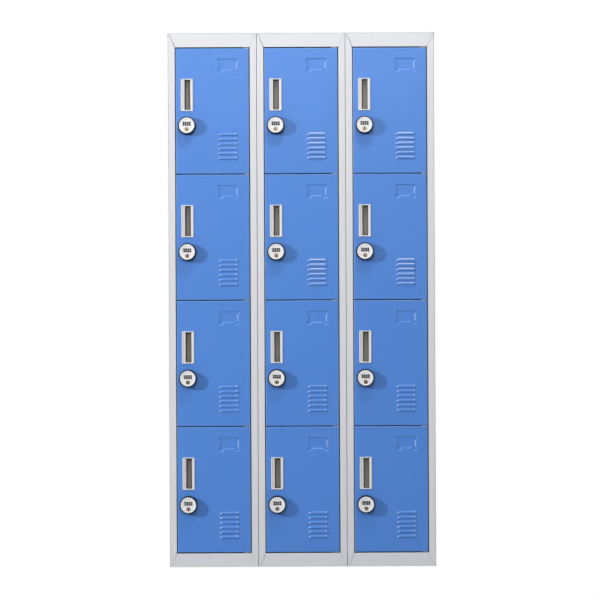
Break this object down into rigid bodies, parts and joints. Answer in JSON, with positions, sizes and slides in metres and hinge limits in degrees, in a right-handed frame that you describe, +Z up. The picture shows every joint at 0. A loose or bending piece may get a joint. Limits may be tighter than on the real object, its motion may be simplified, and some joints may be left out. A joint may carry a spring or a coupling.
{
  "type": "coin operated locker",
  "caption": "Tall steel locker with a grid of hinged doors in mitred frames, each door with a recessed pull, a round combination knob lock, a label recess and pressed louvres.",
  "frame": {"origin": "on the floor, in the middle of the footprint, counting the lock knobs that stand out in front of the doors", "axes": "+Z up, doors face -Y, +X to the right as seen from the front"},
  "size_m": [0.9, 0.475, 1.8],
  "materials": {
    "grey_paint": "light grey powder coat, satin",
    "blue_paint": "mid blue powder coat, satin",
    "zinc_plate": "zinc-plated steel",
    "pull_plastic": "off-white moulded plastic, satin",
    "lock_shell": "white moulded shell; the visual adds a black ring, dark digits and a brass key cylinder"
  },
  "bodies": {
    "cabinet": {"front_frame_c1": "grey_paint", "front_frame_c2": "grey_paint", "front_frame_c3": "grey_paint", "hinge_rail_c1": "zinc_plate", "hinge_rail_c2": "zinc_plate", "hinge_rail_c3": "zinc_plate", "side_panel_left": "grey_paint", "side_panel_right": "grey_paint", "partition_1": "grey_paint", "partition_2": "grey_paint", "shelf_c1_s1": "grey_paint", "shelf_c1_s2": "grey_paint", "shelf_c1_s3": "grey_paint", "shelf_c2_s1": "grey_paint", "shelf_c2_s2": "grey_paint", "shelf_c2_s3": "grey_paint", "shelf_c3_s1": "grey_paint", "shelf_c3_s2": "grey_paint", "shelf_c3_s3": "grey_paint", "back_panel_c1": "grey_paint", "back_panel_c2": "grey_paint", "back_panel_c3": "grey_paint", "top_panel": "grey_paint", "base_plinth": "grey_paint"},
    "door_c1_r1": {"door_c1_r1": "blue_paint", "handle_c1_r1": "pull_plastic"},
    "lock_c1_r1": {"lock_c1_r1": "lock_shell"},
    "door_c1_r2": {"door_c1_r2": "blue_paint", "handle_c1_r2": "pull_plastic"},
    "lock_c1_r2": {"lock_c1_r2": "lock_shell"},
    "door_c1_r3": {"door_c1_r3": "blue_paint", "handle_c1_r3": "pull_plastic"},
    "lock_c1_r3": {"lock_c1_r3": "lock_shell"},
    "door_c1_r4": {"door_c1_r4": "blue_paint", "handle_c1_r4": "pull_plastic"},
    "lock_c1_r4": {"lock_c1_r4": "lock_shell"},
    "door_c2_r1": {"door_c2_r1": "blue_paint", "handle_c2_r1": "pull_plastic"},
    "lock_c2_r1": {"lock_c2_r1": "lock_shell"},
    "door_c2_r2": {"door_c2_r2": "blue_paint", "handle_c2_r2": "pull_plastic"},
    "lock_c2_r2": {"lock_c2_r2": "lock_shell"},
    "door_c2_r3": {"door_c2_r3": "blue_paint", "handle_c2_r3": "pull_plastic"},
    "lock_c2_r3": {"lock_c2_r3": "lock_shell"},
    "door_c2_r4": {"door_c2_r4": "blue_paint", "handle_c2_r4": "pull_plastic"},
    "lock_c2_r4": {"lock_c2_r4": "lock_shell"},
    "door_c3_r1": {"door_c3_r1": "blue_paint", "handle_c3_r1": "pull_plastic"},
    "lock_c3_r1": {"lock_c3_r1": "lock_shell"},
    "door_c3_r2": {"door_c3_r2": "blue_paint", "handle_c3_r2": "pull_plastic"},
    "lock_c3_r2": {"lock_c3_r2": "lock_shell"},
    "door_c3_r3": {"door_c3_r3": "blue_paint", "handle_c3_r3": "pull_plastic"},
    "lock_c3_r3": {"lock_c3_r3": "lock_shell"},
    "door_c3_r4": {"door_c3_r4": "blue_paint", "handle_c3_r4": "pull_plastic"},
    "lock_c3_r4": {"lock_c3_r4": "lock_shell"}
  },
  "joints": [
    {"name": "door_c1_r1_hinge", "type": "hinge", "parent": "cabinet", "child": "door_c1_r1", "pos_m": [-0.1847, -0.2065, 1.53822], "axis": [0, 0, 1], "range_deg": [0, 110]},
    {"name": "lock_c1_r1_turn", "type": "hinge", "parent": "door_c1_r1", "child": "lock_c1_r1", "pos_m": [-0.3848, -0.2125, 1.4882], "axis": [0, 1, 0], "range_deg": [0, 90]},
    {"name": "door_c1_r2_hinge", "type": "hinge", "parent": "cabinet", "child": "door_c1_r2", "pos_m": [-0.1847, -0.2065, 1.11237], "axis": [0, 0, 1], "range_deg": [0, 110]},
    {"name": "lock_c1_r2_turn", "type": "hinge", "parent": "door_c1_r2", "child": "lock_c1_r2", "pos_m": [-0.3848, -0.2125, 1.06235], "axis": [0, 1, 0], "range_deg": [0, 90]},
    {"name": "door_c1_r3_hinge", "type": "hinge", "parent": "cabinet", "child": "door_c1_r3", "pos_m": [-0.1847, -0.2065, 0.68653], "axis": [0, 0, 1], "range_deg": [0, 110]},
    {"name": "lock_c1_r3_turn", "type": "hinge", "parent": "door_c1_r3", "child": "lock_c1_r3", "pos_m": [-0.3848, -0.2125, 0.6365], "axis": [0, 1, 0], "range_deg": [0, 90]},
    {"name": "door_c1_r4_hinge", "type": "hinge", "parent": "cabinet", "child": "door_c1_r4", "pos_m": [-0.1847, -0.2065, 0.26067], "axis": [0, 0, 1], "range_deg": [0, 110]},
    {"name": "lock_c1_r4_turn", "type": "hinge", "parent": "door_c1_r4", "child": "lock_c1_r4", "pos_m": [-0.3848, -0.2125, 0.21065], "axis": [0, 1, 0], "range_deg": [0, 90]},
    {"name": "door_c2_r1_hinge", "type": "hinge", "parent": "cabinet", "child": "door_c2_r1", "pos_m": [0.1143, -0.2065, 1.53822], "axis": [0, 0, 1], "range_deg": [0, 110]},
    {"name": "lock_c2_r1_turn", "type": "hinge", "parent": "door_c2_r1", "child": "lock_c2_r1", "pos_m": [-0.0858, -0.2125, 1.4882], "axis": [0, 1, 0], "range_deg": [0, 90]},
    {"name": "door_c2_r2_hinge", "type": "hinge", "parent": "cabinet", "child": "door_c2_r2", "pos_m": [0.1143, -0.2065, 1.11237], "axis": [0, 0, 1], "range_deg": [0, 110]},
    {"name": "lock_c2_r2_turn", "type": "hinge", "parent": "door_c2_r2", "child": "lock_c2_r2", "pos_m": [-0.0858, -0.2125, 1.06235], "axis": [0, 1, 0], "range_deg": [0, 90]},
    {"name": "door_c2_r3_hinge", "type": "hinge", "parent": "cabinet", "child": "door_c2_r3", "pos_m": [0.1143, -0.2065, 0.68653], "axis": [0, 0, 1], "range_deg": [0, 110]},
    {"name": "lock_c2_r3_turn", "type": "hinge", "parent": "door_c2_r3", "child": "lock_c2_r3", "pos_m": [-0.0858, -0.2125, 0.6365], "axis": [0, 1, 0], "range_deg": [0, 90]},
    {"name": "door_c2_r4_hinge", "type": "hinge", "parent": "cabinet", "child": "door_c2_r4", "pos_m": [0.1143, -0.2065, 0.26067], "axis": [0, 0, 1], "range_deg": [0, 110]},
    {"name": "lock_c2_r4_turn", "type": "hinge", "parent": "door_c2_r4", "child": "lock_c2_r4", "pos_m": [-0.0858, -0.2125, 0.21065], "axis": [0, 1, 0], "range_deg": [0, 90]},
    {"name": "door_c3_r1_hinge", "type": "hinge", "parent": "cabinet", "child": "door_c3_r1", "pos_m": [0.4133, -0.2065, 1.53822], "axis": [0, 0, 1], "range_deg": [0, 110]},
    {"name": "lock_c3_r1_turn", "type": "hinge", "parent": "door_c3_r1", "child": "lock_c3_r1", "pos_m": [0.2132, -0.2125, 1.4882], "axis": [0, 1, 0], "range_deg": [0, 90]},
    {"name": "door_c3_r2_hinge", "type": "hinge", "parent": "cabinet", "child": "door_c3_r2", "pos_m": [0.4133, -0.2065, 1.11237], "axis": [0, 0, 1], "range_deg": [0, 110]},
    {"name": "lock_c3_r2_turn", "type": "hinge", "parent": "door_c3_r2", "child": "lock_c3_r2", "pos_m": [0.2132, -0.2125, 1.06235], "axis": [0, 1, 0], "range_deg": [0, 90]},
    {"name": "door_c3_r3_hinge", "type": "hinge", "parent": "cabinet", "child": "door_c3_r3", "pos_m": [0.4133, -0.2065, 0.68653], "axis": [0, 0, 1], "range_deg": [0, 110]},
    {"name": "lock_c3_r3_turn", "type": "hinge", "parent": "door_c3_r3", "child": "lock_c3_r3", "pos_m": [0.2132, -0.2125, 0.6365], "axis": [0, 1, 0], "range_deg": [0, 90]},
    {"name": "door_c3_r4_hinge", "type": "hinge", "parent": "cabinet", "child": "door_c3_r4", "pos_m": [0.4133, -0.2065, 0.26067], "axis": [0, 0, 1], "range_deg": [0, 110]},
    {"name": "lock_c3_r4_turn", "type": "hinge", "parent": "door_c3_r4", "child": "lock_c3_r4", "pos_m": [0.2132, -0.2125, 0.21065], "axis": [0, 1, 0], "range_deg": [0, 90]}
  ]
}
